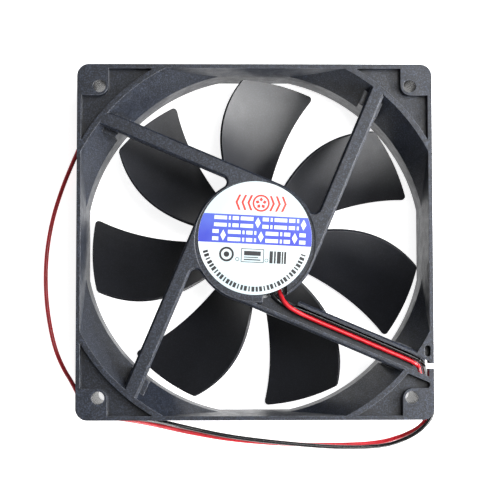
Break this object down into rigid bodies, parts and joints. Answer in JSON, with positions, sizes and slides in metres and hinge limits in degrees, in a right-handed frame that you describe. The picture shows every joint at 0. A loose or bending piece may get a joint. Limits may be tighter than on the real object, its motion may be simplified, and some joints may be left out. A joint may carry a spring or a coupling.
{
  "type": "computer case fan",
  "caption": "Square-framed axial case fan with swept blades, a four-arm motor mount, a round label and a two-lead cord ending in a small plug.",
  "frame": {"origin": "on the fan axis, in the plane of the intake face the fan lies on", "axes": "+Z along the fan axis towards the outlet face with the arms and label; X and Y along the frame's sides"},
  "size_m": [0.1365, 0.1319, 0.025],
  "materials": {
    "frame_plastic": "fine grained satin",
    "impeller_plastic": "satin",
    "steel": "plated",
    "polished_steel": "ground",
    "magnet": "matte",
    "brass": "turned",
    "bronze": "sintered",
    "white_plastic": "satin",
    "black_rubber": "matte",
    "copper_wire": "enamelled",
    "tinned_metal": "tinned",
    "board": "solder mask",
    "chip_black": "moulded",
    "label_film": "printed film",
    "plug_plastic": "moulded",
    "red_insulation": "satin",
    "black_insulation": "satin"
  },
  "bodies": {
    "frame": {"frame_housing": "frame_plastic", "bearing_tube": "brass", "sleeve_bearing": "bronze", "thrust_washer": "white_plastic", "dust_cap": "black_rubber", "stator_core": "steel", "insulator_front": "white_plastic", "insulator_rear": "white_plastic", "winding_1": "copper_wire", "winding_2": "copper_wire", "winding_3": "copper_wire", "winding_4": "copper_wire", "terminal_pins": "tinned_metal", "circuit_board": "board", "solder_joints": "tinned_metal", "hall_sensor": "chip_black", "driver_chip": "chip_black", "smoothing_capacitor": "tinned_metal", "protection_diode": "chip_black", "resistors": "chip_black", "label": "label_film", "plug_housing": "plug_plastic", "plug_contacts": "tinned_metal", "lead_red": "red_insulation", "lead_black": "black_insulation"},
    "rotor": {"impeller": "impeller_plastic", "rotor_yoke": "steel", "magnet_ring": "magnet", "shaft_boss": "brass", "shaft": "polished_steel", "oil_ring": "white_plastic", "retaining_clip": "white_plastic"}
  },
  "joints": [
    {"name": "rotor_spin", "type": "hinge", "parent": "frame", "child": "rotor", "pos_m": [0, 0, 0.0132], "axis": [0, 0, 1], "continuous": true}
  ]
}
